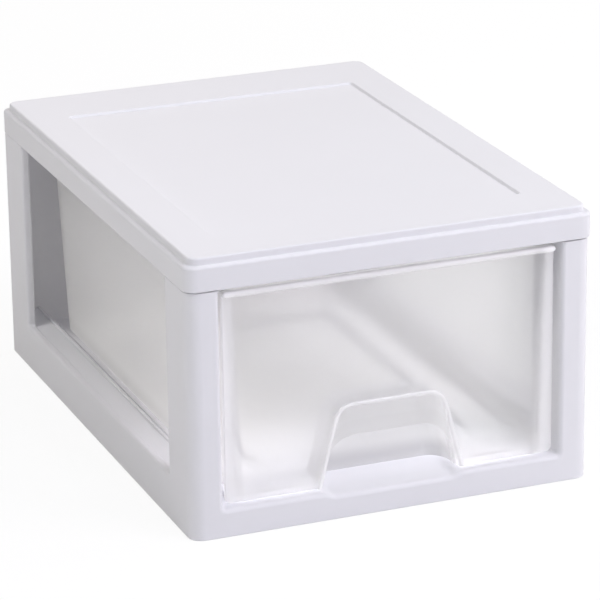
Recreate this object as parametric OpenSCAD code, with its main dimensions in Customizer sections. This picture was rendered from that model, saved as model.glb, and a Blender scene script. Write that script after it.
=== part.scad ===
// Stackable drawer box: an open-sided frame, a cover that clips on top and one sliding drawer.
// Millimetres, +Z up, +Y to the back. The origin is the middle of the footprint, on the ground.

/* [Overall size] */
// Width over the cover skirt
box_w = 260; // [216:1:312]
// Depth over the cover skirt
box_d = 360; // [300:1:432]
// Height from the ground to the stacking face
box_h = 175; // [145:1:210]

/* [Cover] */
// Height of the skirt that hangs round the top
skirt_h = 15.2; // [12:0.1:20]
// Thickness of the skirt
skirt_wall = 2.2; // [1.8:0.1:3]
// Height of the stacking face above the ledge round it
plateau_h = 4.6; // [3:0.1:6]
// Thickness of the top plate
cover_t = 2.6; // [2:0.1:3.2]
// Depth of the sunken middle of the top
sunken_depth = 1.5; // [0.5:0.1:2.5]
// Border beside the sunken middle
border_side = 27; // [15:0.5:45]
// Border in front of the sunken middle
border_front = 36.5; // [20:0.5:60]
// Border behind the sunken middle
border_rear = 49.5; // [20:0.5:60]
// Corner radius of the skirt
skirt_r = 8; // [5:0.5:10]

/* [Frame] */
// How far the frame stands inside the skirt
frame_inset = 0.8; // [0.4:0.1:1.5]
// Wall of the frame
wall = 2.4; // [1.8:0.1:3]
// Radius of the two front corners
corner_front = 9; // [6:0.5:12]
// Radius of the two back corners
corner_back = 5; // [4:0.5:8]
// Width of a pillar on the front face
pillar_front = 20; // [14:0.5:26]
// Width of a pillar on the side faces
pillar_side = 39; // [25:0.5:60]
// Height of the rail below each side window
rail_h = 29; // [24:0.5:40]
// Height of the floor that the drawer runs on
floor_z = 17.6; // [15.6:0.1:22]
// Thickness of the floor
floor_t = 2.5; // [2:0.1:3.5]
// Thickness of the bead round the windows
bead_t = 5.6; // [4:0.1:7]
// Depth of the bead round the front opening
mouth_t = 8; // [5:0.5:10]
// Width of the beads
bead_w = 4; // [3:0.5:5]
// Thickness of the inner walls beside the drawer
liner_t = 2; // [1.6:0.1:2.6]

/* [Drawer] */
// Distance of the drawer front behind the face of the frame
front_setback = 5.2; // [3:0.1:8]
// Gap between the drawer front and each pillar
front_gap = 3; // [1.5:0.1:5]
// Thickness of the drawer front
front_t = 2.4; // [2:0.1:3.5]
// Wall of the tub
tub_wall = 2; // [1.6:0.1:3]
// How far the tub steps in from the edge of the drawer front
tub_step = 2.2; // [1.5:0.1:5]
// Draft of the tub walls in degrees
tub_draft = 2.2; // [0.5:0.1:3]
// Corner radius of the tub
tub_r = 13; // [6:0.5:20]
// Gap behind the tub
rear_gap = 16.8; // [6:0.1:30]
// Gap between the rim of the drawer and the skirt
rim_gap = 3.2; // [1:0.1:8]
// Height of the rim and of the lip on the drawer front
rim_h = 3.8; // [2:0.1:6]
// How far the lip stands out of the drawer front
lip_out = 3.5; // [2:0.1:5]
// Height of the runners under the tub
runner_h = 1.2; // [1:0.1:2]

/* [Pull] */
// Width of the pull at the bottom
pull_w = 89; // [74:1:107]
// Lean of the sides of the pull in degrees
pull_lean = 14; // [5:0.5:18]
// Height of the pull above the drawer bottom
pull_h = 49; // [42:0.5:60]
// Height of the grip edge above the drawer bottom
grip_h = 29; // [22:0.5:34]
// Depth of the pocket behind the drawer front
pull_depth = 24; // [18:0.5:30]

/* [Fits] */
// Running gap of the drawer
slide_gap = 0.3; // [0.2:0.05:0.6]
// Gap round the stacking face inside the next box
stack_gap = 0.3; // [0.2:0.05:0.8]
// Gap between the skirt and the top ring
clip_gap = 0.2; // [0.15:0.05:0.4]
// Open seam under the skirt
seam_gap = 0.8; // [0.2:0.1:1]
// Distance of the stop bumps behind the drawer front
stop_in = 56; // [30:1:90]

/* [Hidden] */
$fn = 48;

eps = 0.05;                                    // overlap of a cut past the face it opens

// Heights
skirt_z = box_h - plateau_h - skirt_h;         // lower edge of the skirt
ledge_z = box_h - plateau_h;                   // ledge round the stacking face
ring_top = ledge_z - cover_t;                  // the cover rests here
wall_top = skirt_z - seam_gap;                 // shoulder of the frame under the skirt
drawer_z = floor_z + slide_gap + runner_h;     // lower edge of the drawer
rim_z = skirt_z - rim_gap;                     // upper edge of the drawer

// Frame outline
frame_w = box_w - 2 * frame_inset;
frame_d = box_d - 2 * frame_inset;
inner_w = frame_w - 2 * wall;
inner_d = frame_d - 2 * wall;
face_y = -frame_d / 2;
mouth_w = frame_w - 2 * pillar_front;
window_d = frame_d - 2 * pillar_side;
bead_r = 2;
mouth_r = 3;
sill_r = 3;

// Top ring that the skirt closes round
ring_t = 2.4;
ring_w = box_w - 2 * (skirt_wall + clip_gap);
ring_d = box_d - 2 * (skirt_wall + clip_gap);
ring_r = skirt_r - skirt_wall - clip_gap;
ring_in_r = max(ring_r - ring_t, 0.5);
shelf_t = 1.2;

// Cover outline
plateau_w = inner_w - 2 * stack_gap;
plateau_d = inner_d - 2 * stack_gap;
plateau_r = corner_front - wall;
plateau_in_r = max(plateau_r - cover_t, 0.5);
sunken_w = plateau_w - 2 * border_side;
sunken_d = plateau_d - border_front - border_rear;
sunken_y = (border_front - border_rear) / 2;
sunken_r = 2;
cover_rib_h = 4;
cover_rib_t = 1.6;

// Clips: a barb on the skirt in a slot of the ring
clip_len = 12;
clip_h = 2.4;
clip_in = 1.2;
clip_z = skirt_z + 4;
clip_slot_gap = 0.3;
clip_y = [-100, 0, 100];
clip_x = [-70, 70];

// Floor of the frame
scoop_w = pull_w;
scoop_flat = scoop_w - 10;
scoop_drop = 2.4;
scoop_d = 20;
scoop_wall = 2.4;
guide_t = 2;
guide_h = 3;
guide_y = face_y + front_setback + front_t + 3;
liner_r = 10;                                  // where the inner wall drops to the height of the rail
rail_drop = 1;                                 // top of the rail below its bead
rail_t = 2.2;

// Drawer outline
panel_y = face_y + front_setback;
panel_w = mouth_w - 2 * front_gap;
tub_w = panel_w - 2 * tub_step;
tub_back = inner_d / 2 - rear_gap;
tub_in = (rim_z - drawer_z) * tan(tub_draft);  // how far the draft brings each wall in
foot_w = tub_w - 2 * tub_in;
lip_r = 1.8;
panel_r = 3.5;
rim_t = 2;
step_h = 0.8;                                  // raised middle of the tub floor
step_side = 31;
step_rear = 57;
step_front = 38;
step_r = 10;
runner_t = 2;
runner_x = foot_w / 2 - 12;
runner_end = 20;
stop_t = 3;
stop_w = 30;
stop_y = tub_back - tub_in - 10;               // stop bar under the tub, drawer shut
stop_x = runner_x - runner_t - stop_w / 2;
bump_y = panel_y + front_t + stop_in;          // back of the bumps, where the stop bar ends up
bump_h = 0.8;
bump_w = 22;
bump_d = 6;

// Pull outline
pull_r = 10;
grip_r = 22;
grip_lean = 5;
grip_in = 5;                                   // how far the grip edge lies behind the front
grip_t = 2.2;
pocket_w = pull_w - 3;
pocket_round = 14;                             // how much narrower the pocket is at its back

// ---------------------------------------------------------------- shared outlines

// Rectangle with one radius at its two front corners and another at its two back corners
module tray_2d(w, d, rf, rb) {
    translate([-w / 2 + rf, -d / 2]) square([w - 2 * rf, d / 2]);
    translate([-w / 2 + rb, 0]) square([w - 2 * rb, d / 2]);
    translate([-w / 2, -d / 2 + rf]) square([w, d - rf - rb]);
    for (s = [-1, 1]) {
        translate([s * (w / 2 - rf), -d / 2 + rf]) circle(rf);
        translate([s * (w / 2 - rb), d / 2 - rb]) circle(rb);
    }
}

// Upright block on a tray outline, from z0 to z1
module block(w, d, rf, rb, z0, z1)
    translate([0, 0, z0]) linear_extrude(z1 - z0) tray_2d(w, d, rf, rb);

// Box between two corners
module box(a, b) translate(a) cube(b - a);

// Copy on the left and on the right
module both_sides() {
    children();
    mirror([1, 0, 0]) children();
}

// Copy at the front and at the back
module both_ends() {
    children();
    mirror([0, 1, 0]) children();
}

// ---------------------------------------------------------------- cover

// One barb, wide along X, that points to -Y from the origin
module clip_barb(reach, gap) translate([-clip_len / 2 - gap, -reach, -gap])
    cube([clip_len + 2 * gap, reach + eps, clip_h + 2 * gap]);

// Barbs on the skirt, or with a gap the slots that they snap into
module clips(half_w, half_d, reach, gap) translate([0, 0, clip_z]) {
    both_sides() for (y = clip_y)
        translate([half_w, y, 0]) rotate([0, 0, -90]) clip_barb(reach, gap);
    for (x = clip_x) {
        translate([x, half_d, 0]) clip_barb(reach, gap);
        translate([x, -half_d, 0]) rotate([0, 0, 180]) clip_barb(reach, gap);
    }
}

// Sunken middle, from height z0 to z1, grown by g on each side
module sunken(g, z0, z1) translate([0, sunken_y, 0])
    block(sunken_w + 2 * g, sunken_d + 2 * g, sunken_r + g, sunken_r + g, z0, z1);

// Ribs under the sunken middle
module cover_ribs() {
    z1 = box_h - sunken_depth - cover_t;
    for (s = [-1, 1]) translate([s * sunken_w / 6, sunken_y, 0])
        box([-cover_rib_t / 2, -sunken_d / 2, z1 - cover_rib_h],
            [cover_rib_t / 2, sunken_d / 2, z1 + eps]);
    for (i = [-1:1]) translate([0, sunken_y + i * sunken_d / 4, 0])
        box([-sunken_w / 2, -cover_rib_t / 2, z1 - cover_rib_h],
            [sunken_w / 2, cover_rib_t / 2, z1 + eps]);
}

module top_cover() color([0.90, 0.90, 0.92]) {
    in_w = box_w - 2 * skirt_wall;
    in_d = box_d - 2 * skirt_wall;
    difference() {
        union() {
            block(box_w, box_d, skirt_r, skirt_r, skirt_z, ledge_z);
            block(plateau_w, plateau_d, plateau_r, plateau_r, ledge_z - eps, box_h);
        }
        difference() {
            union() {
                block(in_w, in_d, skirt_r - skirt_wall, skirt_r - skirt_wall, skirt_z - 1, ring_top);
                block(plateau_w - 2 * cover_t, plateau_d - 2 * cover_t,
                      plateau_in_r, plateau_in_r, ring_top - eps, box_h - cover_t);
            }
            sunken(cover_t, box_h - sunken_depth - cover_t, box_h);
        }
        sunken(0, box_h - sunken_depth, box_h + 1);
    }
    cover_ribs();
    clips(in_w / 2, in_d / 2, clip_gap + clip_in, 0);
}

// ---------------------------------------------------------------- frame

// Bead along a window edge: rounded on the two corners at v = 0, u runs into the frame
module bead_2d(depth, width, r) {
    translate([0, r]) square([depth, width - r]);
    translate([r, 0]) square([depth - 2 * r, width]);
    for (u = [r, depth - r]) translate([u, r]) circle(r);
}

// Beads round the window on the right-hand side
module window_beads() {
    x = frame_w / 2 - bead_t;
    y = window_d / 2;
    // rail below the window
    translate([x, y + bead_w, rail_h]) rotate([90, 0, 0])
        linear_extrude(window_d + 2 * bead_w) mirror([0, 1]) bead_2d(bead_t, bead_w, bead_r);
    // the two upright edges
    both_ends() translate([x, y, rail_h - bead_w]) linear_extrude(wall_top - rail_h + bead_w)
        bead_2d(bead_t, bead_w, bead_r);
}

// Bead down the right-hand edge of the front opening
module mouth_bead() translate([mouth_w / 2, face_y, 0]) {
    linear_extrude(wall_top) {
        translate([mouth_r, 0]) square([bead_w - mouth_r + 1, mouth_t]);
        translate([0, mouth_r]) square([bead_w, mouth_t - mouth_r]);
        translate([mouth_r, mouth_r]) circle(mouth_r);
    }
}

// Cut that rounds the front edge of the floor across the opening
module sill_round() translate([-mouth_w / 2, face_y, floor_z]) rotate([90, 0, 90])
    linear_extrude(mouth_w) difference() {
        translate([-1, -sill_r]) square([sill_r + 1, sill_r + 1]);
        translate([sill_r, -sill_r]) circle(sill_r);
    }

// Finger dip in the front of the floor, as seen from the front
module scoop_2d() polygon([[-scoop_w / 2, floor_z + 1], [-scoop_w / 2, floor_z],
    [-scoop_flat / 2, floor_z - scoop_drop], [scoop_flat / 2, floor_z - scoop_drop],
    [scoop_w / 2, floor_z], [scoop_w / 2, floor_z + 1]]);

module scoop_cut() translate([0, face_y + scoop_d, 0]) rotate([90, 0, 0])
    linear_extrude(scoop_d + 1) scoop_2d();

// Low guides beside the foot of the tub, and the two stop bumps in front of them
module drawer_guides() both_sides() {
    x = foot_w / 2 + 2 * slide_gap;
    box([x, guide_y, floor_z - eps], [x + guide_t, tub_back, floor_z + guide_h]);
    box([stop_x - bump_w / 2, bump_y - bump_d, floor_z - eps],
        [stop_x + bump_w / 2, bump_y, floor_z + bump_h]);
}

// Inner wall beside the drawer, seen from the side: full height behind the pillar, then as high as the rail
module liner_2d() {
    y0 = face_y + mouth_r + 1;
    y1 = -window_d / 2;
    y2 = (frame_d - wall) / 2;
    translate([y0, floor_z - eps]) square([y1 - y0, wall_top - floor_z + eps]);
    translate([y0, floor_z - eps]) square([y2 - y0, rail_h - floor_z + eps]);
    difference() {
        translate([y1 - eps, rail_h - eps]) square(liner_r + eps);
        translate([y1 + liner_r, rail_h + liner_r]) circle(liner_r);
    }
}

module liners() both_sides()
    translate([mouth_w / 2, 0, 0]) rotate([90, 0, 90]) linear_extrude(liner_t) liner_2d();

// Flat top of the rail, from its bead to the inner wall
module rail_tops() both_sides()
    box([mouth_w / 2 + liner_t / 2, face_y + mouth_t - 1, rail_h - rail_drop - rail_t],
        [frame_w / 2 - bead_t + 1, (frame_d - wall) / 2, rail_h - rail_drop]);

// The rail is open below, between the side wall and the inner wall
module rail_hollows() both_sides()
    box([mouth_w / 2 + liner_t, -window_d / 2, floor_z - floor_t - 1],
        [frame_w / 2 - wall, window_d / 2, floor_z + eps]);

module top_ring() difference() {
    union() {
        block(ring_w, ring_d, ring_r, ring_r, wall_top - eps, ring_top);
        intersection() {
            block(frame_w, frame_d, corner_front, corner_back, wall_top - shelf_t, wall_top);
            union() {
                both_sides() both_ends()
                    box([mouth_w / 2, -frame_d / 2, 0], [frame_w / 2, -window_d / 2, box_h]);
                box([-mouth_w / 2, frame_d / 2 - 2 * pillar_front, 0], [mouth_w / 2, frame_d / 2, box_h]);
            }
        }
    }
    block(ring_w - 2 * ring_t, ring_d - 2 * ring_t, ring_in_r, ring_in_r, 0, box_h);
    clips(ring_w / 2, ring_d / 2, ring_t + 1, clip_slot_gap);
}

module frame_body() color([0.87, 0.87, 0.90]) difference() {
    union() {
        difference() {
            block(frame_w, frame_d, corner_front, corner_back, 0, wall_top);
            block(inner_w, inner_d, corner_front - wall, corner_back - wall, floor_z, box_h);
            block(inner_w, inner_d, corner_front - wall, corner_back - wall, -1, floor_z - floor_t);
            both_sides() box([frame_w / 2 - wall - 1, -window_d / 2 - bead_r, rail_h - bead_r],
                             [frame_w / 2 + 1, window_d / 2 + bead_r, box_h]);
            box([-mouth_w / 2 - mouth_r, face_y - 1, floor_z],
                [mouth_w / 2 + mouth_r, face_y + wall + 1, box_h]);
        }
        both_sides() window_beads();
        intersection() {
            both_sides() mouth_bead();
            block(frame_w, frame_d, corner_front, corner_back, 0, wall_top);
            box([-box_w, face_y, floor_z - floor_t], [box_w, 0, box_h]);
        }
        box([-scoop_w / 2 - scoop_wall, face_y + wall / 2, floor_z - scoop_drop - scoop_wall],
            [scoop_w / 2 + scoop_wall, face_y + scoop_d + scoop_wall, floor_z]);
        drawer_guides();
        liners();
        rail_tops();
        top_ring();
    }
    sill_round();
    scoop_cut();
    rail_hollows();
}

// ---------------------------------------------------------------- drawer

// One level of the tub: square to the drawer front, round at the back
module tub_level(w, back, r, z) translate([0, 0, z]) linear_extrude(0.01) {
    front = panel_y + front_t - eps;
    translate([-w / 2, front]) square([w, back - front - r]);
    translate([-w / 2 + r, front]) square([w - 2 * r, back - front]);
    for (s = [-1, 1]) translate([s * (w / 2 - r), back - r]) circle(r, $fn = 32);
}

// Drafted body of the tub, moved in by g, from z0 to the rim
module tub_solid(g, z0) {
    down = (rim_z - z0) * tan(tub_draft);
    hull() {
        tub_level(tub_w - 2 * g, tub_back - g, tub_r - g, rim_z - 0.01);
        tub_level(tub_w - 2 * g - 2 * down, tub_back - g - down, tub_r - g, z0);
    }
}

// Turned-out rim round the top of the tub
module tub_rim() translate([0, 0, rim_z - rim_t]) linear_extrude(rim_t) {
    back = tub_back + tub_step;
    r = tub_r + tub_step;
    translate([-panel_w / 2, panel_y + eps]) square([panel_w, back - panel_y - r]);
    translate([-panel_w / 2 + r, panel_y + eps]) square([panel_w - 2 * r, back - panel_y - eps]);
    for (s = [-1, 1]) translate([s * (panel_w / 2 - r), back - r]) circle(r);
}

// Open top of the tub
module tub_mouth_2d() {
    w = tub_w - 2 * tub_wall;
    back = tub_back - tub_wall;
    r = tub_r - tub_wall;
    front = panel_y + front_t;
    translate([-w / 2, front]) square([w, back - front - r]);
    translate([-w / 2 + r, front]) square([w - 2 * r, back - front]);
    for (s = [-1, 1]) translate([s * (w / 2 - r), back - r]) circle(r);
}

// Drawer front seen from the front, with round lower corners
module panel_2d() {
    translate([-panel_w / 2, drawer_z + panel_r]) square([panel_w, rim_z - drawer_z - panel_r]);
    translate([-panel_w / 2 + panel_r, drawer_z]) square([panel_w - 2 * panel_r, rim_z - drawer_z]);
    for (s = [-1, 1]) translate([s * (panel_w / 2 - panel_r), drawer_z + panel_r]) circle(panel_r);
}

// Lip along the top of the drawer front, seen from the side with -Y to the left
module lip_2d() {
    translate([-lip_out + lip_r, 0]) square([lip_out - lip_r + eps, rim_h]);
    translate([-lip_out, lip_r]) square([lip_out, rim_h - 2 * lip_r]);
    for (z = [lip_r, rim_h - lip_r]) translate([-lip_out + lip_r, z]) circle(lip_r);
}

// Arch above the drawer bottom, with leaning sides that run into round upper corners
module arch_2d(foot, lean, h, r) translate([0, drawer_z]) {
    x = foot / 2 - (h - r) * tan(lean) - r / cos(lean);   // centre of the corner
    tx = x + r * cos(lean);                               // where the side meets the corner
    tz = h - r + r * sin(lean);
    polygon([[-foot / 2, -1], [-foot / 2, 0], [-tx, tz], [tx, tz], [foot / 2, 0], [foot / 2, -1]]);
    translate([-x, 0]) square([2 * x, h]);
    for (s = [-1, 1]) translate([s * x, h - r]) circle(r, $fn = 32);
}

// Slice of an arch, t thick, at distance y from the face of the drawer front
module arch(foot, lean, h, r, y, t) translate([0, panel_y + y + t, 0]) rotate([90, 0, 0])
    linear_extrude(t) arch_2d(foot, lean, h, r);

// Outside of the pocket, inside the tub
module pull_shell() arch(pull_w + 2 * tub_wall, pull_lean, pull_h + tub_wall, pull_r + tub_wall,
                         eps, pull_depth + tub_wall);

// Hollow of the pull: a mouth that slopes in to the grip edge, and the pocket behind that edge
module pull_hollow() {
    behind = grip_in + grip_t;
    hull() {
        arch(pull_w, pull_lean, pull_h, pull_r, -0.02, 0.01);
        arch(pocket_w, grip_lean, grip_h, grip_r, grip_in, 0.01);
    }
    arch(pocket_w, grip_lean, grip_h, grip_r, 0, behind + 1);
    hull() {
        arch(pocket_w, pull_lean, pull_h - tub_wall, pull_r, behind, 0.01);
        arch(pocket_w, pull_lean, pull_h - tub_wall, pull_r, pull_depth - pocket_round, 0.01);
        arch(pocket_w - 2 * pocket_round, pull_lean, pull_h - tub_wall, pull_r, pull_depth - 0.01, 0.01);
    }
}

// Runners under the tub and the stop bar behind them
module runners() both_sides() {
    box([runner_x, panel_y + front_t + runner_end, drawer_z - runner_h],
        [runner_x + runner_t, tub_back - tub_in - runner_end, drawer_z + eps]);
    box([stop_x - stop_w / 2, stop_y, drawer_z - runner_h],
        [stop_x + stop_w / 2, stop_y + stop_t, drawer_z + eps]);
}

// Raised middle of the tub floor, from height z0 to z1
module floor_step(z0, z1) {
    y0 = panel_y + step_front;
    y1 = tub_back - tub_in - step_rear;
    translate([0, (y0 + y1) / 2, 0])
        block(foot_w - 2 * step_side, y1 - y0, step_r, step_r, z0, z1);
}

module drawer() color([0.93, 0.94, 0.95]) difference() {
    union() {
        difference() {
            union() {
                tub_solid(0, drawer_z);
                tub_rim();
            }
            difference() {
                union() {
                    tub_solid(tub_wall, drawer_z + tub_wall);
                    translate([0, 0, rim_z - 1]) linear_extrude(2) tub_mouth_2d();
                }
                floor_step(drawer_z, drawer_z + tub_wall + step_h);
                translate([0, panel_y, 0]) box([-panel_w / 2, 0, 0], [panel_w / 2, front_t, box_h]);
                pull_shell();
            }
        }
        translate([0, panel_y + front_t, 0]) rotate([90, 0, 0]) linear_extrude(front_t) panel_2d();
        translate([-panel_w / 2, panel_y, rim_z - rim_h]) rotate([90, 0, 90])
            linear_extrude(panel_w) lip_2d();
        runners();
    }
    pull_hollow();
    floor_step(drawer_z - 1, drawer_z + step_h);
}

top_cover();
frame_body();
drawer();
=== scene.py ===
"""Stackable drawer box: an open-sided frame, a clip-on cover and a frosted drawer.

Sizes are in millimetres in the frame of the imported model: +X right, +Y back, +Z up, origin
on the ground in the middle of the footprint. Meshes, lamps and the camera are in metres.
"""

import math

import bmesh
import bpy
from mathutils import Matrix, Vector


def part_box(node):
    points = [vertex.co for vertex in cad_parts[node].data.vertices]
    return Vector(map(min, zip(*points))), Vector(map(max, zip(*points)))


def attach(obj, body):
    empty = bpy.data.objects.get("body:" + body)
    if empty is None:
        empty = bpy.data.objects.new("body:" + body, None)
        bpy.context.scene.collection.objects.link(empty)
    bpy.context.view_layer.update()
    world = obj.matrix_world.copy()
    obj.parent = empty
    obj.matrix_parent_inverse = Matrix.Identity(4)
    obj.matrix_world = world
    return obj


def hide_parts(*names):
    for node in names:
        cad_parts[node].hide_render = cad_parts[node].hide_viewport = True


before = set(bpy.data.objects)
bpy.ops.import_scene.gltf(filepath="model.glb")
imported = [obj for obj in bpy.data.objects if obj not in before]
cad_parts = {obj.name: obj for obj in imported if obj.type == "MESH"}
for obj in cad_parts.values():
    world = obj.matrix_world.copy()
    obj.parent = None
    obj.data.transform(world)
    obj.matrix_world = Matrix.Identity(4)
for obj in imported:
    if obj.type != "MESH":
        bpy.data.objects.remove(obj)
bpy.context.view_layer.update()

MM = 0.001


def node_box(node):
    """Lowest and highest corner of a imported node, in millimetres."""
    low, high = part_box(node)
    return [round(v / MM, 2) for v in low], [round(v / MM, 2) for v in high]


cover_low, cover_high = node_box("top_cover")
body_low, body_high = node_box("frame_body")
drawer_high = node_box("drawer")[1]

# ---------------------------------------------------------------- sizes

hair = 0.01                     # keeps two skins out of one plane
sunk = 0.4                      # how far a guide or a wall reaches into the floor it stands on
past = 3.0                      # how far a cut starts outside of what it cuts
block_edge = 0.4                # rounding of the edges of small blocks

# Cover
skirt_half_w = cover_high[0]
skirt_half_d = cover_high[1]
skirt_z = cover_low[2]
top_z = cover_high[2]
skirt_wall = 2.2
skirt_r = 8.0
skirt_edge = 1.7
skirt_foot_r = 0.6
skirt_foot_r_inside = 0.4
plateau_h = 4.6
plateau_in = 3.5
plateau_r = 6.6
plateau_edge = 1.3
plateau_fillet = 0.7
cover_t = 2.6
border_side = 27.0
border_front = 36.5
border_rear = 49.5
sunken_depth = 1.5
sunken_r = 2.0
sunken_slope = 0.9
ledge_z = top_z - plateau_h
sunken_z = top_z - sunken_depth
plateau_half_w = skirt_half_w - plateau_in
plateau_half_d = skirt_half_d - plateau_in
sunken_half_w = plateau_half_w - border_side
sunken_front = -plateau_half_d + border_front
sunken_back = plateau_half_d - border_rear
rib_half = 0.8
rib_h = 4.0
rib_sunk = 0.6

# Clips inside the skirt, and the slots for them in the ring of the frame
clip_rows = (-100, 0, 100)
clip_columns = (-70, 70)
clip_half = 6.0
clip_low = skirt_z + 4
clip_high = skirt_z + 6.4
clip_reach = 1.4
clip_sunk = 0.5
slot_gap = 0.3
slot_depth = 8.0
slot_edge = 0.2

# Frame
frame_half_w = body_high[0]
face_y = body_low[1]
back_y = body_high[1]
ring_top = body_high[2]
wall = 2.4
corner_front = 9.0
corner_back = 5.0
corner_least = 0.6
foot_edge = 1.0
head_edge = 0.5
seam_gap = 0.8
wall_top = skirt_z - seam_gap
over_walls = 162.0              # cuts that leave the frame through its top end here
floor_z = 17.6
floor_t = 2.5
ceiling = floor_z - floor_t     # of the space under the floor
ceiling_r = 1.0
room_r = 1.5
rim_r = 0.8
pillar_front = 20.0
pillar_side = 39.0
rail_h = 29.0
rail_drop = 1.0
rail_t = 2.2
bead_t = 5.6
bead_w = 4.0
bead_r = 2.0
bead_r_inside = 1.5
bead_stock_edge = 0.8
mouth_t = 8.0
mouth_r = 3.0
mouth_corner = 2.0
window_corner = 2.5
liner_t = 2.0
liner_r = 10.0
liner_edge = 0.5
rail_top_edge = 0.3
ring_out = 2.4
ring_t = 2.4
ring_r = 5.6
ring_edge = 0.5
shelf_in = 0.5
shelf_t = 1.2
mouth_half = frame_half_w - pillar_front
window_half = back_y - pillar_side

# Finger dip in the sill
dip_half = 46.0
dip_ramp = 9.0
dip_deep = 2.4
dip_level = face_y + 12
dip_end = face_y + 30
dip_step = 2.0
pan_wall = 2.4
pan_edge = 1.0

# Drawer
panel_y = face_y + 5.2
panel_t = 2.4
panel_back = panel_y + panel_t
panel_half = drawer_high[0]
panel_r = 3.5
panel_top_r = 0.8
panel_edge = 0.9
panel_edge_back = 0.6
rim_z = drawer_high[2]
rim_t = 2.0
rim_edge = 0.7
rim_edge_inside = 0.8
rim_out = 2.2
rim_flare = ((2.8, 0), (2.2, 0.3))      # depth under the top of the rim, share of its reach
drawer_z = 19.1
tub_half = panel_half - rim_out
tub_back = drawer_high[1] - rim_out
tub_front = panel_y + 1.0
tub_wall = 2.0
tub_floor = drawer_z + tub_wall
tub_r = 13.0
tub_r_least = 3.0
tub_r_front = 0.8
tub_r_front_inside = 3.5
tub_foot_r = 4.0
tub_levels = (60, 105)
draft = math.tan(math.radians(2.2))
foot_half = tub_half - (rim_z - drawer_z) * draft
lip_out = 3.5
lip_h = 3.8
lip_nose = 1.8
lip_end = 1.9
lip_sunk = 0.8

# Raised middle of the tub floor, with the recess under it
raised_half = 67.9
raised_front = panel_y + 38
raised_back = 97.9
raised_r = 10.0
raised_edge = ((0, 0.6), (0.25, 1.15), (0.8, 1.4))      # inset and height above the floor
recess_h = 0.8
recess_slope = 0.6

# Guides and bumps of the frame, runners and stops of the drawer
guide_gap = 0.6
guide_t = 2.0
guide_h = 3.0
guide_edge = 0.5
guide_front = panel_y + 5.4
bump_near, bump_far = 58.9, 80.9
bump_front, bump_back = panel_back + 50, panel_back + 56
bump_h = 0.8
runner_x = foot_half - 12
runner_t = 2.0
runner_h = 1.2
runner_sunk = 0.5
runner_front = panel_back + 20
runner_back = tub_back - 25.1
stop_w = 30.0
stop_front, stop_back = tub_back - 15.1, tub_back - 12.1

# Pull
pull_foot = 89.0
pull_lean = 14.0
pull_h = 49.0
pull_r = 10.0
pull_edge = 1.9
roll_w = 1.2
roll_proud = 0.9
grip_foot = 86.0
grip_lean = 5.0
grip_h = 29.0
grip_r = 22.0
grip_in = 5.0
grip_t = 2.2
grip_edge = 1.0
pocket_depth = 24.0
pocket_edge = 0.6
pocket_round = 14.0
pocket_narrow = 0.86
pocket_lower = 4.0
pocket_shell_r = 3.0

# ---------------------------------------------------------------- mesh making


def solid(name, mesh):
    """Object made from a bmesh whose faces all look outwards."""
    bmesh.ops.recalc_face_normals(mesh, faces=mesh.faces)
    data = bpy.data.meshes.new(name)
    mesh.to_mesh(data)
    mesh.free()
    thing = bpy.data.objects.new(name, data)
    bpy.context.scene.collection.objects.link(thing)
    return thing


def loft(name, loops, ring=False):
    """Skin through loops of as many points each. A ring joins its last loop to its first."""
    mesh = bmesh.new()
    rows = [[mesh.verts.new(Vector(point) * MM) for point in loop] for loop in loops]
    count = len(rows[0])
    pairs = list(zip(rows, rows[1:]))
    if ring:
        pairs.append((rows[-1], rows[0]))
    else:
        mesh.faces.new(rows[0])
        mesh.faces.new(rows[-1])
    for a, b in pairs:
        for i in range(count):
            j = (i + 1) % count
            mesh.faces.new((a[i], a[j], b[j], b[i]))
    return solid(name, mesh)


def combine(base, others, how):
    """Joins the others to the base, or cuts them out of it, and removes them."""
    for other in others:
        boolean = base.modifiers.new("boolean", "BOOLEAN")
        boolean.operation = how
        boolean.solver = "MANIFOLD"
        boolean.object = other
    graph = bpy.context.evaluated_depsgraph_get()
    made = bpy.data.meshes.new_from_object(base.evaluated_get(graph))
    base.modifiers.clear()
    base.data = made
    for other in others:
        bpy.data.objects.remove(other)
    return base


def join(base, *others):
    return combine(base, others, "UNION")


def cut(base, *others):
    return combine(base, others, "DIFFERENCE")


def rounding(r, steps):
    """Points (inset, rise) of a rounded edge, from flat at (r, 0) to upright at (0, r)."""
    turns = [math.pi / 2 * i / steps for i in range(steps + 1)]
    return [(r * (1 - math.sin(a)), r * (1 - math.cos(a))) for a in turns]


def rounding_back(r, steps):
    """The same points from upright to flat."""
    return rounding(r, steps)[::-1]


def arc(across, along, r, start, steps, sweep=90):
    """Points on an arc round a middle, from an angle in degrees."""
    turns = [math.radians(start + sweep * i / steps) for i in range(steps + 1)]
    return [(across + r * math.cos(a), along + r * math.sin(a)) for a in turns]


def ease(t):
    """Smooth step from 0 to 1."""
    t = min(max(t, 0), 1)
    return t * t * (3 - 2 * t)


def tray(half_w, front, back, r_front, r_back, z, steps=8):
    """Outline seen from above with round corners, at height z."""
    points = arc(half_w - r_front, front + r_front, r_front, -90, steps)
    points += arc(half_w - r_back, back - r_back, r_back, 0, steps)
    points += arc(r_back - half_w, back - r_back, r_back, 90, steps)
    points += arc(r_front - half_w, front + r_front, r_front, 180, steps)
    return [(x, y, z) for x, y in points]


def upright(outline, rows):
    """Loops of an outline that shrinks by each row's inset: outline(inset, z)."""
    return [outline(inset, z) for inset, z in rows]


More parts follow.
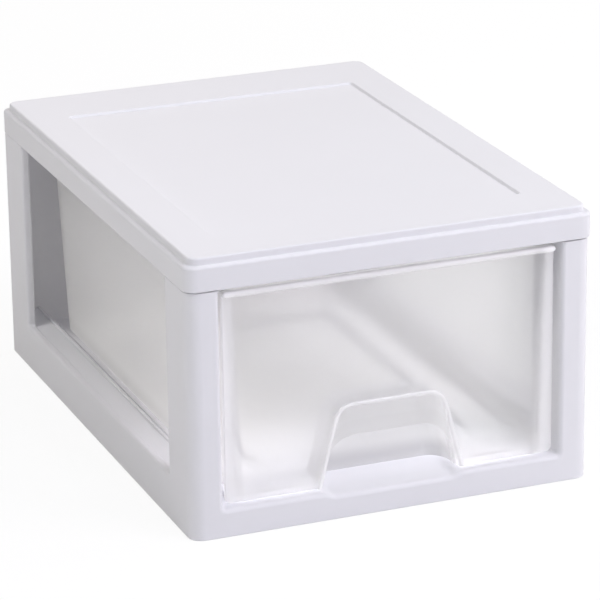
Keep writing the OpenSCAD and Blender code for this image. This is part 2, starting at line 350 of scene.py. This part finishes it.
def block(low, high, r=block_edge):
    """Small block with softened edges, between two corners."""
    half_x, half_y = (high[0] - low[0]) / 2, (high[1] - low[1]) / 2
    mid_x, mid_y = (high[0] + low[0]) / 2, (high[1] + low[1]) / 2

    def outline(inset, z):
        loop = tray(half_x - inset, inset - half_y, half_y - inset, r, r, z, 2)
        return [(x + mid_x, y + mid_y, h) for x, y, h in loop]

    edge = r * 0.9
    foot = [(inset, low[2] + rise) for inset, rise in rounding(edge, 2)]
    head = [(inset, high[2] - rise) for inset, rise in rounding_back(edge, 2)]
    return loft("block", upright(outline, foot + head))


def pair(low, high, r=block_edge):
    """Block on the right, between two corners, and its mirror image on the left."""
    mirrored = (-high[0], low[1], low[2]), (-low[0], high[1], high[2])
    return [block(low, high, r), block(*mirrored, r)]


def sides(make):
    """The piece that make(side) returns, on the right and on the left."""
    return [make(1), make(-1)]


def clip_blocks(half_w, half_d, inwards, outwards, gap, r):
    """Blocks at the places of the clips, from inwards of a wall to outwards of it."""
    half, low, high = clip_half + gap, clip_low - gap, clip_high + gap
    blocks = []
    for y in clip_rows:
        blocks += pair((half_w - inwards, y - half, low), (half_w + outwards, y + half, high), r)
    for x in clip_columns:
        for side in (-1, 1):
            near, far = sorted((side * (half_d - inwards), side * (half_d + outwards)))
            blocks.append(block((x - half, near, low), (x + half, far, high), r))
    return blocks


# ---------------------------------------------------------------- cover


def make_cover():
    def plate(half_w, half_d, r):
        return lambda inset, z: tray(
            half_w - inset, inset - half_d, half_d - inset, r - inset, r - inset, z)

    def sunken(inset, z):
        return tray(sunken_half_w - inset, sunken_front + inset, sunken_back - inset,
                    sunken_r - inset, sunken_r - inset, z)

    skirt = plate(skirt_half_w, skirt_half_d, skirt_r)
    plateau = plate(plateau_half_w, plateau_half_d, plateau_r)
    # sunken middle, out and up to the stacking face by a soft slope
    slope_steps = 8
    shares = [i / slope_steps for i in range(slope_steps + 1)]
    loops = [sunken(sunken_slope * (1 - 2 * t), sunken_z + sunken_depth * ease(t)) for t in shares]
    # over the edge of the stacking face and down to the ledge
    loops += [plateau(inset, top_z - rise) for inset, rise in rounding(plateau_edge, 5)]
    loops += [plateau(-inset, ledge_z + rise) for inset, rise in rounding_back(plateau_fillet, 3)]
    # over the edge of the skirt, down its face and round its lower edge
    loops += [skirt(inset, ledge_z - rise) for inset, rise in rounding(skirt_edge, 6)]
    loops += [skirt(inset, skirt_z + rise) for inset, rise in rounding_back(skirt_foot_r, 3)]
    loops += [skirt(skirt_wall - inset, skirt_z + rise)
              for inset, rise in rounding(skirt_foot_r_inside, 2)]
    # up inside the skirt, along the underside and round the underside of the sunken middle
    underside = top_z - cover_t
    rib_z = sunken_z - cover_t
    loops += [skirt(skirt_wall, ring_top), plateau(cover_t, ring_top + hair),
              plateau(cover_t, underside), sunken(-cover_t, underside - hair),
              sunken(-cover_t, rib_z)]
    cover = loft("cover", loops)

    ribs = [block((x - rib_half, sunken_front, rib_z - rib_h),
                  (x + rib_half, sunken_back, rib_z + rib_sunk))
            for x in (-sunken_half_w / 3, sunken_half_w / 3)]
    middle = (sunken_front + sunken_back) / 2
    pitch = (sunken_back - sunken_front) / 4
    ribs += [block((-sunken_half_w, middle + i * pitch - rib_half, rib_z - rib_h),
                   (sunken_half_w, middle + i * pitch + rib_half, rib_z + rib_sunk))
             for i in (-1, 0, 1)]
    clips = clip_blocks(skirt_half_w - skirt_wall, skirt_half_d - skirt_wall,
                        clip_reach, clip_sunk, 0, block_edge)
    return join(cover, *ribs, *clips)


# ---------------------------------------------------------------- frame


def dip(x, y):
    """Depth of the finger dip in the sill."""
    share_across = ease((dip_half - abs(x)) / dip_ramp)
    share_along = 1 - ease((y - dip_level) / (dip_end - dip_level))
    return dip_deep * share_across * share_along


def mouth_loop(y, grow):
    """Front opening at distance y, grown by grow where its edge is rounded."""
    half = mouth_half + grow
    corner = mouth_corner + grow
    foot = floor_z - grow
    # points along the sill, close together on the ramps of the dip
    stations = [half - corner - 4, 60]
    stations += [dip_half + 2 - i for i in range(12)] + [30, 20, 10]
    points = arc(-half + corner, foot + corner, corner, 180, 4)
    points += [(-x, foot - dip(x, y)) for x in stations] + [(0, foot - dip(0, y))]
    points += [(x, foot - dip(x, y)) for x in stations[::-1]]
    points += arc(half - corner, foot + corner, corner, 270, 4)
    points += [(half, over_walls), (-half, over_walls)]
    return [(x, y, z) for x, z in points]


def make_mouth():
    """Cut for the front opening, with its rounded edge and the finger dip."""
    loops = [mouth_loop(face_y - past, mouth_r)]
    loops += [mouth_loop(face_y - 2 * hair + rise, inset) for inset, rise in rounding(mouth_r, 7)]
    y = face_y + mouth_r + 1.5
    while y < dip_end + 1:
        loops.append(mouth_loop(y, 0))
        y += dip_step
    return loft("mouth", loops)


def window_loop(x, grow, side):
    """Side opening at distance x from the middle, grown by grow where its edge is rounded."""
    half = window_half + grow
    corner = window_corner + grow
    foot = rail_h - grow
    points = arc(-half + corner, foot + corner, corner, 180, 6)
    points += arc(half - corner, foot + corner, corner, 270, 6)
    points += [(half, over_walls), (-half, over_walls)]
    return [(side * x, y, z) for y, z in points]


def make_window(side):
    """Cut for a side opening through its beads, which are rounded outside and inside."""
    inner_x = frame_half_w - bead_t
    loops = [window_loop(frame_half_w + past, bead_r, side)]
    loops += [window_loop(frame_half_w + 2 * hair - rise, inset, side)
              for inset, rise in rounding(bead_r, 6)]
    loops += [window_loop(inner_x - 2 * hair + rise, inset, side)
              for inset, rise in rounding_back(bead_r_inside, 5)]
    loops.append(window_loop(inner_x - past, bead_r_inside, side))
    return loft("window", loops)


def make_liner(side):
    """Inner wall beside the drawer: full height behind the pillar, then as high as the rail."""
    front, turn, rear = face_y + mouth_r + 1, -window_half, back_y - wall / 2
    foot, head = floor_z - sunk, wall_top - hair

    def outline(inset, x):
        edge_y, edge_z = turn - inset, rail_h - inset
        points = [(front, foot), (rear, foot), (rear, edge_z)]
        points += arc(edge_y + liner_r, edge_z + liner_r, liner_r, 270, 8, -90)
        points += [(edge_y, head), (front, head)]
        return [(side * x, y, z) for y, z in points]

    near, far = mouth_half + hair, mouth_half + liner_t
    loops = [outline(inset, near + rise) for inset, rise in rounding(liner_edge, 3)]
    loops += [outline(inset, far - rise) for inset, rise in rounding_back(liner_edge, 3)]
    return loft("liner", loops)


def make_rail_tops():
    """Flat tops of the rails, from their beads to the inner walls."""
    top = rail_h - rail_drop
    return pair((mouth_half + liner_t / 2, face_y + mouth_t - 1, top - rail_t),
                (frame_half_w - bead_t + 1, back_y - wall / 2, top), rail_top_edge)


def make_frame():
    def walls(inset, z):
        return tray(frame_half_w - inset, face_y + inset, back_y - inset,
                    max(corner_front - inset, corner_least),
                    max(corner_back - inset, corner_least), z)

    foot = rounding(foot_edge, 4)
    head = [(inset, wall_top - rise) for inset, rise in rounding_back(head_edge, 2)]
    body = loft("frame", upright(walls, foot + head))

    # room for the drawer, and the space under the floor that drops over the box below
    room = [(wall + inset, floor_z + rise) for inset, rise in rounding(room_r, 3)]
    room += [(wall, over_walls)]
    base = [(wall - rim_r, -past)] + [(wall - inset, rise) for inset, rise in rounding(rim_r, 3)]
    base += [(wall + inset, ceiling - rise) for inset, rise in rounding_back(ceiling_r, 3)]
    cut(body, loft("room", upright(walls, room)), loft("base", upright(walls, base)))

    # stock for the beads of the openings, the pan under the dip, and then the openings themselves
    stock_foot, stock_top = ceiling + 0.4, wall_top - hair
    side_stock = pair((frame_half_w - bead_t, -window_half - bead_w, rail_h - bead_w),
                      (frame_half_w - 1, window_half + bead_w, stock_top), bead_stock_edge)
    front_stock = block((-mouth_half - bead_w, face_y + 1, stock_foot),
                        (mouth_half + bead_w, face_y + mouth_t, stock_top), bead_stock_edge)
    pan = block((-dip_half - pan_wall, face_y + 1, floor_z - dip_deep - pan_wall),
                (dip_half + pan_wall, dip_end + 2, floor_z - 0.5), pan_edge)
    join(body, *side_stock, front_stock, pan)
    cut(body, make_mouth(), *sides(make_window))

    # ring under the cover, on a narrow shelf over the pillars and the back wall
    def ring(inset, z):
        return tray(skirt_half_w - ring_out - inset, inset + ring_out - skirt_half_d,
                    skirt_half_d - ring_out - inset, ring_r - inset, ring_r - inset, z)

    ring_foot = wall_top - 0.05
    rows = [(0, ring_foot)]
    rows += [(inset, ring_top - rise) for inset, rise in rounding_back(ring_edge, 2)]
    rows += [(ring_t - inset, ring_top - rise) for inset, rise in rounding(ring_edge, 2)]
    rows += [(ring_t, ring_foot)]
    top_ring = loft("ring", upright(ring, rows), ring=True)
    cut(top_ring, *clip_blocks(skirt_half_w, skirt_half_d, slot_depth, 0, slot_gap, slot_edge))
    shelf_rows = [(shelf_in, wall_top - shelf_t), (shelf_in, wall_top - 2 * hair)]
    shelf = loft("shelf", upright(walls, shelf_rows))
    under, over = wall_top - past, wall_top + past
    well = loft("well", upright(ring, [(ring_t, under), (ring_t, over)]))
    # the shelf is left out over the openings, from side to side and from the front inwards
    reach = frame_half_w + past
    gaps = [block((-mouth_half, face_y - past, under),
                  (mouth_half, back_y - 2 * pillar_front, over)),
            block((-reach, -window_half, under), (reach, window_half, over))]
    cut(shelf, well, *gaps)

    # guides beside the drawer and the bumps that stop it
    guide_x = foot_half + guide_gap
    guides = pair((guide_x, guide_front, floor_z - sunk),
                  (guide_x + guide_t, tub_back, floor_z + guide_h), guide_edge)
    bumps = pair((bump_near, bump_front, floor_z - sunk),
                 (bump_far, bump_back, floor_z + bump_h), guide_edge)
    join(body, top_ring, shelf, *guides, *bumps, *sides(make_liner), *make_rail_tops())
    # the rails are open below, between the side wall and the inner wall
    return cut(body, *pair((mouth_half + liner_t, -window_half, ceiling - past),
                           (frame_half_w - wall, window_half, floor_z + 1)))


# ---------------------------------------------------------------- drawer


def arch(foot, lean, high, r, y, grow=0.0, bottom=-6.0):
    """Arch above the drawer's lower edge at distance y: leaning sides, round upper corners."""
    lean = math.radians(lean)
    middle = foot / 2 - (high - r) * math.tan(lean) - r / math.cos(lean)
    side_steps, corner_steps = 6, 9
    right = []
    reach = r + grow
    touch_x = middle + reach * math.cos(lean)
    touch_z = high - r + reach * math.sin(lean)
    # the straight side, from below the drawer up to where the corner starts
    for i in range(side_steps):
        t = i / side_steps
        z = bottom + (touch_z - bottom) * t
        right.append((touch_x + (touch_z - z) * math.tan(lean), z))
    for i in range(corner_steps + 1):
        a = lean + (math.pi / 2 - lean) * i / corner_steps
        right.append((middle + reach * math.cos(a), high - r + reach * math.sin(a)))
    left = [(-x, z) for x, z in right[::-1]]
    middle_top = [(middle * t, high + grow) for t in (0.6, 0.2, -0.2, -0.6)]
    return [(x, y, drawer_z + z) for x, z in right + middle_top + left]


def between(a, b, t):
    """Loop that lies a share t of the way from loop a to loop b."""
    return [tuple(p + (q - p) * t for p, q in zip(point, other)) for point, other in zip(a, b)]


def make_rolled_edge(outline):
    """Rounded bead that stands a little proud round the pull."""
    out = pull_edge + roll_w
    loops = [arch(*outline, panel_y + 1, out, 0)]
    loops += [arch(*outline, panel_y - roll_proud + rise, out - inset, 0)
              for inset, rise in rounding_back(roll_proud, 4)]
    return loft("rolled_edge", loops)


def make_pull_mouth(outline):
    """Cut for the hollow of the pull, with the band that slopes in to the grip edge."""
    grip = (grip_foot, grip_lean, grip_h, grip_r)
    grip_y, in_front = panel_y + grip_in, panel_y - 4
    loops = [arch(*outline, in_front, pull_edge)]
    # the rounded edge of the mouth ends early, where the band goes on at its slope
    loops += [arch(*outline, panel_y - roll_proud - 2 * hair + rise, inset)
              for inset, rise in rounding(pull_edge, 6) if rise < pull_edge * 0.75]
    start, end = loops[-1], arch(*grip, grip_y, grip_edge)
    loops += [between(start, end, t) for t in (0.2, 0.4, 0.6, 0.8)]
    loops += [arch(*grip, grip_y + rise, inset) for inset, rise in rounding(grip_edge, 4)]
    loops += [arch(*grip, grip_y + grip_t - rise + 2 * hair, inset)
              for inset, rise in rounding_back(grip_edge, 4)[1:]]
    return loft("pull_mouth", loops)


def make_pocket():
    """Cut for the pocket behind the grip edge, rounded at its back."""
    inside = panel_y + grip_in + grip_t
    high = pull_h - tub_wall
    loops = [arch(grip_foot, pull_lean, high - pocket_edge, pull_r, inside),
             arch(grip_foot, pull_lean, high, pull_r, inside + pocket_edge)]
    turn, steps = panel_y + pocket_depth - pocket_round, 10
    for i in range(steps + 1):
        a = math.pi / 2 * i / steps
        narrow = pocket_round * (1 - math.cos(a)) * pocket_narrow
        lower = pocket_lower * (1 - math.cos(a)) ** 2
        loops.append(arch(grip_foot - 2 * narrow, pull_lean, high - lower, pull_r,
                          turn + pocket_round * math.sin(a)))
    return loft("pocket", loops)


def make_pocket_shell():
    """Walls of the pocket, which the hollow of the tub leaves standing."""
    outline = (pull_foot + 2 * tub_wall, pull_lean, pull_h + tub_wall, pull_r + tub_wall)
    deep = pocket_depth + tub_wall
    loops = [arch(*outline, panel_y + 0.5)]
    loops += [arch(*outline, panel_y + deep - rise, -inset)
              for inset, rise in rounding_back(pocket_shell_r, 5)]
    return loft("shell", loops)


def make_front():
    """Flat drawer front with round lower corners."""
    def outline(inset, y):
        low, high, r = drawer_z + inset, rim_z - inset, panel_r - inset
        half = panel_half - inset
        top_x, top_r = half - panel_top_r, panel_top_r
        points = arc(-half + r, low + r, r, 180, 6) + arc(half - r, low + r, r, 270, 6)
        points += arc(top_x, high - top_r, top_r, 0, 6) + arc(-top_x, high - top_r, top_r, 90, 6)
        return [(x, y, z) for x, z in points]

    loops = [outline(inset, panel_y + rise) for inset, rise in rounding(panel_edge, 4)]
    loops += [outline(inset, panel_back - rise)
              for inset, rise in rounding_back(panel_edge_back, 3)]
    return loft("front", loops)


def make_lip():
    """Lip along the top of the drawer front, rounded at both ends."""
    def section(x, share):
        half = max(lip_h / 2 * share, 0.02)
        out = lip_out - lip_nose * (1 - share)
        r = min(lip_nose, half, out)
        middle, root, nose = rim_z - lip_h / 2, panel_y + lip_sunk, panel_y - out + r
        points = [(root, middle - half)]
        points += arc(nose, middle - half + r, r, 270, 6, -90)
        points += arc(nose, middle + half - r, r, 180, 6, -90)
        points += [(root, middle + half)]
        return [(x, y, z) for y, z in points]

    ends = [(panel_half - rise, math.sin(math.acos(min(1, 1 - rise / lip_end))))
            for rise in (0.0, 0.1, 0.35, 0.75, 1.3, lip_end)]
    loops = [section(-x, share) for x, share in ends]
    loops += [section(x, share) for x, share in ends[::-1]]
    return loft("lip", loops)


def make_drawer():
    def tub(inset, z, wall_in=0.0, front=tub_front, r_front=tub_r_front):
        in_x = (rim_z - z) * draft + inset + wall_in
        return tray(tub_half - in_x, front, tub_back - in_x,
                    r_front, max(tub_r - inset - wall_in, tub_r_least), z, 10)

    def inside(inset, z, behind=0.0):
        return tub(inset, z, tub_wall, panel_back + behind, tub_r_front_inside)

    # outside of the tub with its turned-out rim
    outside = [tub(inset, drawer_z + rise) for inset, rise in rounding(tub_foot_r, 6)]
    outside += [tub(0, z) for z in tub_levels]
    outside += [tub(-rim_out * share, rim_z - deep) for deep, share in rim_flare]
    rim = [(inset, rim_z - rim_t + rise) for inset, rise in rounding(rim_edge, 3)]
    rim += [(inset, rim_z - rise) for inset, rise in rounding_back(rim_edge, 3)]
    outside += [tub(inset - rim_out - (rim_z - z) * draft, z) for inset, z in rim]
    body = loft("drawer", outside)
    outline = (pull_foot, pull_lean, pull_h, pull_r)
    join(body, make_front(), make_lip(), make_rolled_edge(outline))

    # inside of the tub, less the raised floor and the walls of the pocket
    loops = [inside(-rim_edge_inside, rim_z + past, -rim_edge_inside)]
    loops += [inside(-inset, rim_z + 2 * hair - rise, -inset)
              for inset, rise in rounding(rim_edge_inside, 3)]
    loops += [inside(0, z) for z in tub_levels[::-1]]
    loops += [inside(inset, tub_floor + rise, inset)
              for inset, rise in rounding_back(tub_foot_r, 6)]
    hollow = loft("hollow", loops)

    def raised(inset, z):
        return tray(raised_half - inset, raised_front + inset, raised_back - inset,
                    raised_r - inset, raised_r - inset, z)

    under = drawer_z - 1
    rows = [(0, under)] + [(inset, tub_floor + rise) for inset, rise in raised_edge]
    cut(hollow, loft("raised", upright(raised, rows)), make_pocket_shell())
    cut(body, hollow, make_pull_mouth(outline), make_pocket())
    rows = [(-recess_slope, under), (-recess_slope, drawer_z + hair), (0, drawer_z + recess_h)]
    cut(body, loft("recess", upright(raised, rows)))

    foot, head = drawer_z - runner_h, drawer_z + runner_sunk
    runners = pair((runner_x, runner_front, foot), (runner_x + runner_t, runner_back, head))
    stop_x = runner_x - runner_t
    stops = pair((stop_x - stop_w, stop_front, foot), (stop_x, stop_back, head))
    return join(body, *runners, *stops)


# ---------------------------------------------------------------- finishes


class Value:
    """An output of a node that can be written into sums and products."""

    def __init__(self, nodes, socket):
        self.nodes, self.socket = nodes, socket

    def maths(self, operation, *values):
        return self.nodes.add("Math", {"operation": operation}, dict(enumerate(values)))

    def larger(self, other):
        return self.maths("MAXIMUM", self, other)

    def __abs__(self):
        return self.maths("ABSOLUTE", self)

    def __add__(self, other):
        return self.maths("ADD", self, other)

    def __sub__(self, other):
        return self.maths("SUBTRACT", self, other)

    def __rsub__(self, other):
        return self.maths("SUBTRACT", other, self)

    def __mul__(self, other):
        return self.maths("MULTIPLY", self, other)

    __radd__ = __add__
    __rmul__ = __mul__


class Nodes:
    """Nodes of a material or of the world, with one way of adding them."""

    def __init__(self, owner):
        owner.use_nodes = True
        self.owner = owner
        self.tree = owner.node_tree
        self.tree.nodes.clear()

    def add(self, kind, settings=None, inputs=None, output=0):
        """Adds a node: settings first, then numbers, colours or links to its sockets."""
        node = self.tree.nodes.new("ShaderNode" + kind)
        for name, value in (settings or {}).items():
            setattr(node, name, value)
        for name, value in (inputs or {}).items():
            if isinstance(value, Value):
                self.tree.links.new(value.socket, node.inputs[name])
            else:
                node.inputs[name].default_value = value
        return Value(self, node.outputs[output]) if node.outputs else None

    def noise(self, place, scale, detail, roughness):
        return self.add("TexNoise", None, {
            "Vector": place, "Scale": scale, "Detail": detail, "Roughness": roughness})

    def colours(self, share, first, second):
        """Colour that goes from the first to the second as share goes from 0 to 1."""
        return self.add("Mix", {"data_type": "RGBA"}, {"Factor": share, 6: first, 7: second}, 2)

    def shaders(self, share, first, second):
        """Shader that goes from the first to the second as share goes from 0 to 1."""
        return self.add("MixShader", None, {0: share, 1: first, 2: second})

    def show(self, shader, output="OutputMaterial"):
        """Makes the shader the surface, and returns what the nodes belong to."""
        self.add(output, None, {"Surface": shader})
        return self.owner


def new_finish(name):
    return Nodes(bpy.data.materials.new(name))


# outputs by number: object coordinates, and kinds of light ray
object_place = 3
camera_ray, shadow_ray, transmitted_ray = 0, 1, 6

# shared by both plastics: bending of light, and depth of the grain in metres
plastic_ior = 1.46
grain_depth = 0.0001


def moulded_white(name):
    """White satin plastic of the cover and the frame: fine grain, faint clouds in its gloss."""
    dim_white, bright_white = (0.76, 0.76, 0.78, 1), (0.78, 0.78, 0.80, 1)
    f = new_finish(name)
    place = f.add("TexCoord", output=object_place)
    grain = f.noise(place, 1800.0, 2.0, 0.5)
    cloud = f.noise(place, 14.0, 3.0, 0.55)
    colour = f.colours(cloud, dim_white, bright_white)
    bump = f.add("Bump", None, {"Strength": 0.12, "Distance": grain_depth, "Height": grain})
    return f.show(f.add("BsdfPrincipled", None, {
        "Base Color": colour, "Roughness": 0.48 + 0.10 * cloud + 0.06 * grain,
        "IOR": plastic_ior, "Normal": bump}))


def frosted_clear(name):
    """Frosted clear plastic of the drawer: part milky, part see-through with a soft blur."""
    wall_white, milky_and_painted_glow_white = (0.82, 0.818, 0.812, 1), (0.985, 0.98, 0.975, 1)
    # painted_shade_grey is the grey of the painted shade in the groove and the pocket
    painted_shade_grey, glow_white = (0.36, 0.36, 0.38, 1), (0.86, 0.855, 0.845, 1)
    blurred_white, bare = (0.975, 0.975, 0.978, 1), (1, 1, 1, 1)
    f = new_finish(name)
    place = f.add("TexCoord", output=object_place)
    aside, depth, height = (f.add("SeparateXYZ", None, {0: place}, i) for i in range(3))

    def fade(along, start, end):
        """0 before start, 1 beyond end, smooth between."""
        return f.add("MapRange", {"interpolation_type": "SMOOTHSTEP"}, {
            0: along, 1: start * MM, 2: end * MM, 3: 0.0, 4: 1.0})

    grain = f.noise(place, 900.0, 2.0, 0.5)
    cloud = f.noise(place, 18.0, 2.0, 0.5)
    # the lip and the rolled edge are thick, so they look whiter than the walls; their whiter base
    # colour is partly painted light, standing in for the glow that light piped through the plastic
    # gives these edges
    thick = fade(depth, panel_y, panel_y - 0.5)
    # the front is clearer than the tub, and the tub's sides are clearer than its floor and back
    front = fade(depth, panel_back + 0.6, panel_back + 0.1)
    milky_floor = fade(height, drawer_z + 16, drawer_z + 5) * (1 - front)
    milky_back = fade(depth, tub_back - 22, tub_back - 12)
    from_middle = abs(aside)
    # the edge of the front, outside the tub and at its corners, is milkier, and its base colour is
    # painted lighter to cover the shade that falls in the gap between the tub and the pillar
    # behind it
    wall_line = tub_half - tub_wall - draft * rim_z
    milky_edge_painted_bright = fade(from_middle - draft * height, wall_line - 4, wall_line) * front
    # painted shade: the base colour is darkened round the raised middle of the floor, where shade
    # falls in the groove beside it
    behind = depth - raised_back * MM
    outwards = (from_middle - raised_half * MM).larger(0.5 * behind)
    groove = fade(outwards, -1.5, 1.5) * (1 - fade(outwards, 3.5, 9))
    groove = groove * fade(height, drawer_z + 6, drawer_z + 3)
    groove = groove * fade(depth, raised_front, raised_front + 50)
    # painted shade too: the base colour is darkened in the pocket behind the grip edge
    pocket_back, pocket_top = panel_y + pocket_depth, drawer_z + pull_h
    pocket = fade(depth, panel_y + 6, panel_y + 9) * fade(depth, pocket_back + 5, pocket_back + 1)
    pocket = pocket * fade(from_middle, 47, 42) * fade(height, pocket_top + 4, pocket_top - 4)

    # the milky part: a white skin, and light that glows through from behind
    # painted light: the skin is whiter on the thick edges and on the front's edge strip
    white = f.colours(thick + 0.45 * milky_edge_painted_bright, wall_white, milky_and_painted_glow_white)
    # painted shade: the skin is darkened in the groove and in the pocket
    white = f.colours(groove + 0.5 * pocket, white, painted_shade_grey)
    bump = f.add("Bump", None, {"Strength": 0.08, "Distance": grain_depth, "Height": grain})
    skin = f.add("BsdfPrincipled", None, {
        "Base Color": white, "Roughness": 0.26 + 0.08 * cloud, "IOR": plastic_ior,
        "Normal": bump, "Coat Weight": thick, "Coat Roughness": 0.1})
    glow = f.add("BsdfTranslucent", None, {"Color": glow_white})
    glow_share = 0.55 - 0.4 * thick - 0.4 * milky_floor - 0.25 * milky_back - 0.4 * milky_edge_painted_bright
    milky = f.shaders(glow_share, skin, glow)

    # the clear part blurs what is behind it and lets the lamps through; a thin wall hardly
    # bends the light, so its IOR is low
    blurred = f.add("BsdfPrincipled", None, {
        "Base Color": blurred_white, "Roughness": 0.29 + 0.05 * cloud, "IOR": 1.09,
        "Transmission Weight": 1.0})
    lamps_through = f.add("BsdfTransparent", None, {"Color": bare})
    shadow = f.add("LightPath", output=shadow_ray)
    clear = f.shaders(shadow, blurred, lamps_through)
    clear_share = 0.66 + 0.04 * cloud + 0.14 * front - 0.42 * milky_back
    clear_share = clear_share * (1 - 0.85 * thick) * (1 - 0.65 * milky_floor)
    clear_share = clear_share * (1 - 0.6 * milky_edge_painted_bright)
    # milky walls hold back as little of the lamps' light as clear ones
    clear_share = clear_share + shadow * (1 - clear_share)
    return f.show(f.shaders(clear_share, milky, clear))


# ---------------------------------------------------------------- pieces

smooth_below = math.radians(38)


def finish_piece(thing, name, node, body, material):
    """Shades the piece smooth over its rounded edges, and gives it its place, slot and finish."""
    thing.name = name
    data = thing.data
    data.name = name
    for polygon in data.polygons:
        polygon.use_smooth = True
    data.set_sharp_from_angle(angle=smooth_below)
    data.materials.clear()
    data.materials.append(material)
    weighted = thing.modifiers.new("even_faces", "WEIGHTED_NORMAL")
    weighted.keep_sharp = True
    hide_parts(node)
    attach(thing, body)


finish_piece(make_cover(), "cover_shell", "top_cover", "box",
             moulded_white("cover_white"))
finish_piece(make_frame(), "frame_shell", "frame_body", "box",
             moulded_white("frame_white"))
finish_piece(make_drawer(), "drawer_tub", "drawer", "drawer",
             frosted_clear("drawer_frosted"))

# ---------------------------------------------------------------- studio

scene = bpy.context.scene
scene.view_settings.view_transform = "Standard"
scene.cycles.max_bounces = 32
scene.cycles.diffuse_bounces = 16
scene.cycles.glossy_bounces = 8
scene.cycles.transmission_bounces = 20


def studio_white():
    """Floor that is lit for the camera and seen through the plastic, and is paper for the rest."""
    f = new_finish("floor_white")
    paper = f.add("BsdfDiffuse", None, {"Color": (0.85, 0.85, 0.85, 1)})
    lit = f.add("Emission", None, {"Color": (1, 1, 1, 1), "Strength": 1.03})
    seen = 0.85 * f.add("LightPath", output=camera_ray)
    seen = seen + 0.6 * f.add("LightPath", output=transmitted_ray)
    return f.show(f.shaders(seen, paper, lit))


floor_mesh = bmesh.new()
bmesh.ops.create_grid(floor_mesh, x_segments=1, y_segments=1, size=8.0)
floor = solid("studio_floor", floor_mesh)
floor.data.materials.append(studio_white())

# the backdrop is pale for the camera only, so all light on the box comes from the lamps
sky = Nodes(bpy.data.worlds.new("studio"))
dark = sky.add("Background", None, {"Strength": 0.0})
pale = sky.add("Background", None, {"Color": (1, 1, 1, 1), "Strength": 1.0})
backdrop = sky.shaders(sky.add("LightPath", output=camera_ray), dark, pale)
scene.world = sky.show(backdrop, "OutputWorld")

lamp_aim = Vector((0, 0, 0.08))


def soft_box(name, place, size, power, colour):
    """Large soft lamp that looks at the box."""
    data = bpy.data.lights.new(name, "AREA")
    data.shape = "RECTANGLE"
    data.size, data.size_y = size
    data.energy = power
    data.color = colour
    lamp = bpy.data.objects.new(name, data)
    scene.collection.objects.link(lamp)
    lamp.location = place
    lamp.visible_camera = False
    lamp.rotation_euler = (lamp_aim - Vector(place)).to_track_quat("-Z", "Y").to_euler()


soft_box("near_right_low", (0.85, -0.95, 0.22), (0.7, 0.4), 1.1, (1.00, 0.98, 0.84))
soft_box("near_front_low", (0.25, -1.15, 0.18), (0.9, 0.35), 0.2, (0.79, 0.78, 1.00))
soft_box("left_high", (-1.7, -0.3, 1.7), (1.2, 1.2), 24.5, (1.00, 0.98, 0.95))
soft_box("right_high", (1.8, 0.2, 1.7), (1.4, 1.4), 20.0, (0.97, 1.00, 0.99))
soft_box("back_right", (1.6, 1.6, 1.0), (1.2, 1.0), 3.9, (1.00, 0.98, 0.84))
soft_box("top", (0, 0, 2.2), (2.4, 2.4), 2.9, (0.79, 0.79, 1.00))
soft_box("front_right", (1.7, -1.8, 1.8), (1.6, 1.6), 41.8, (0.97, 0.91, 1.00))
soft_box("front_left", (-1.7, -1.8, 1.6), (1.6, 1.6), 2.5, (0.79, 0.78, 1.00))
soft_box("front_high", (0.3, -1.7, 2.4), (1.6, 1.2), 21.3, (0.82, 0.87, 1.00))
soft_box("back", (0, 2.3, 1.5), (2.0, 1.4), 17.9, (1.00, 0.91, 0.86))

# Camera: turned to the right, tipped down and rolled, in degrees
camera_place = (-0.74197, -1.92158, 0.80593)
camera_turn, camera_down, camera_roll = 21.393, 19.535, -0.737
focal_pixels, frame_pixels, sensor = 3419.573, 600, 36.0
turn, down, roll = (math.radians(a) for a in (camera_turn, camera_down, camera_roll))
ahead = Vector((math.sin(turn) * math.cos(down), math.cos(turn) * math.cos(down), -math.sin(down)))
level = Vector((math.cos(turn), -math.sin(turn), 0))
above = level.cross(ahead)
right = math.cos(roll) * level + math.sin(roll) * above
upward = math.cos(roll) * above - math.sin(roll) * level
lens_data = bpy.data.cameras.new("camera")
lens_data.sensor_width = sensor
lens_data.lens = sensor * focal_pixels / frame_pixels
lens_data.clip_start, lens_data.clip_end = 0.05, 60
camera = bpy.data.objects.new("camera", lens_data)
scene.collection.objects.link(camera)
turned = Matrix((right, upward, -ahead)).transposed().to_4x4()
camera.matrix_world = Matrix.Translation(camera_place) @ turned
scene.camera = camera
